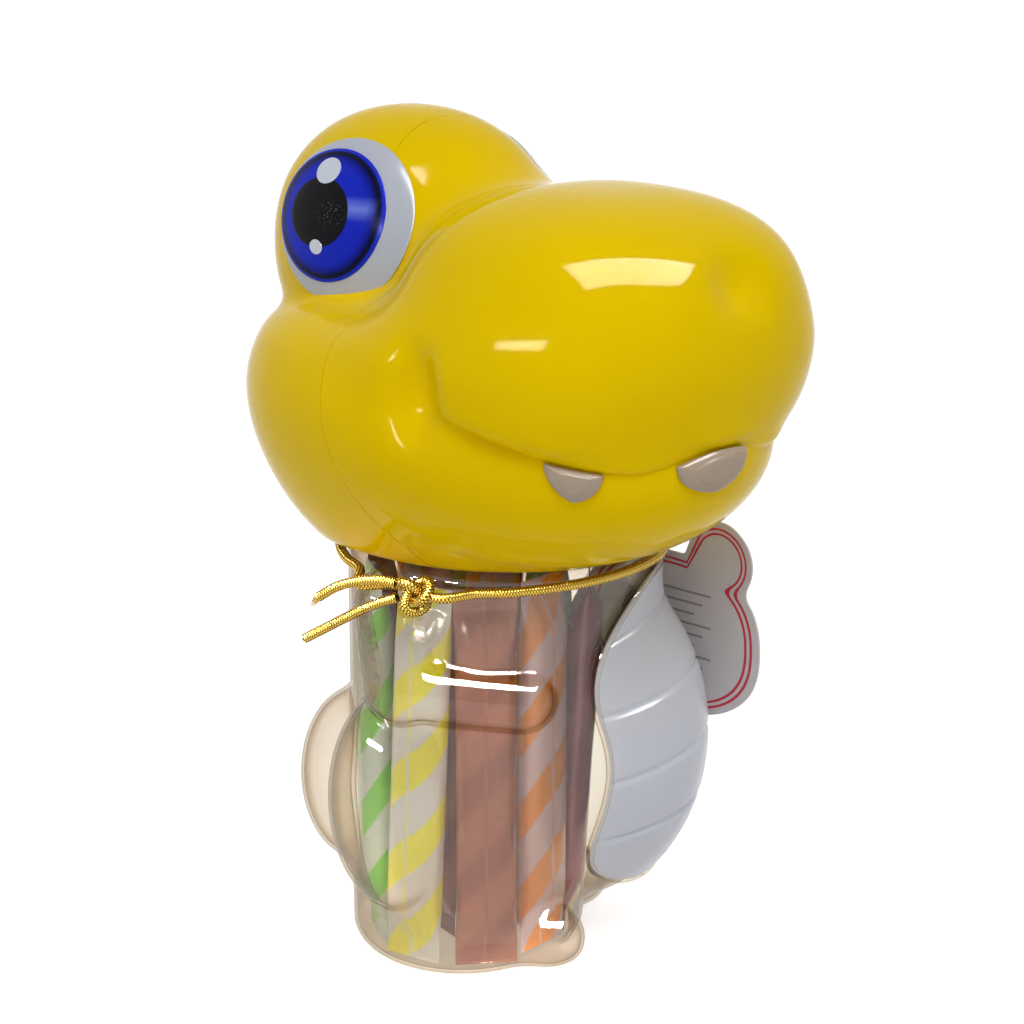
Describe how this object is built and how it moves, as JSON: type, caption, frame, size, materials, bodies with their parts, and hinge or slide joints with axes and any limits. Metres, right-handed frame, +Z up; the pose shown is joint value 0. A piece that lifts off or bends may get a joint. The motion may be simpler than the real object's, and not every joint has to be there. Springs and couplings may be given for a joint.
{
  "type": "candy jar",
  "caption": "Clear plastic candy jar shaped as a seated dinosaur, with a glossy yellow head as its turning, lift-off lid, wrapped candy sticks inside and a card tag on a gold cord",
  "frame": {"origin": "on the floor under the middle of the jar's round neck, on the axis that the head turns about", "axes": "+Z up along the neck axis; the jar's belly faces -Y; the animal's left is +X; the head is turned 39.5 degrees to its right at rest"},
  "size_m": [0.2003, 0.2131, 0.3078],
  "materials": {
    "clear_plastic": "clear thin blow-moulded plastic, glossy",
    "plate_plastic": "white moulded sheet, glossy",
    "seal_foam": "soft white foam ring",
    "head_plastic": "bright yellow moulded plastic, very glossy",
    "cap_plastic": "plain white moulded plastic",
    "eye_plastic": "white, glossy",
    "iris_foil": "metallic blue foil with a dark pupil",
    "tooth_plastic": "greyish white, glossy",
    "gold_cord": "metallic gold braided elastic",
    "tag_card": "white coated card with a red outline",
    "apple_film": "green and white striped film wrapper",
    "lemon_film": "yellow and white striped film wrapper",
    "cola_film": "amber-brown striped film wrapper",
    "orange_film": "orange and white striped film wrapper",
    "grape_film": "purple and maroon striped film wrapper"
  },
  "bodies": {
    "jar": {"jar_body": "clear_plastic", "belly_plate": "plate_plastic", "neck_cord": "gold_cord", "cord_knot": "gold_cord", "cord_end_upper": "gold_cord", "cord_end_lower": "gold_cord", "candy_stick_01": "cola_film", "candy_stick_02": "orange_film", "candy_stick_03": "grape_film", "candy_stick_04": "apple_film", "candy_stick_05": "lemon_film", "candy_stick_06": "cola_film", "candy_stick_07": "orange_film", "candy_stick_08": "grape_film", "candy_stick_09": "apple_film", "candy_stick_10": "lemon_film", "candy_stick_11": "cola_film", "candy_stick_12": "orange_film", "candy_stick_13": "grape_film"},
    "seal": {"lid_seal": "seal_foam"},
    "head": {"head_front_shell": "head_plastic", "head_back_shell": "head_plastic", "inner_cap": "cap_plastic", "eye_right": "eye_plastic", "eye_left": "eye_plastic", "iris_right": "iris_foil", "iris_left": "iris_foil", "side_tooth_right": "tooth_plastic", "side_tooth_left": "tooth_plastic", "front_tooth": "tooth_plastic"},
    "tag": {"hang_tag": "tag_card"}
  },
  "joints": [
    {"name": "head_lift", "type": "slide", "parent": "jar", "child": "seal", "axis": [0, 0, 1], "range_m": [0, 0.06]},
    {"name": "head_turn", "type": "hinge", "parent": "seal", "child": "head", "pos_m": [0, 0, 0.158], "axis": [0, 0, 1], "continuous": true},
    {"name": "tag_swing", "type": "hinge", "parent": "jar", "child": "tag", "pos_m": [0.04571, -0.04399, 0.1505], "axis": [-0.5446, -0.8387, 0], "range_deg": [0, 25]}
  ]
}
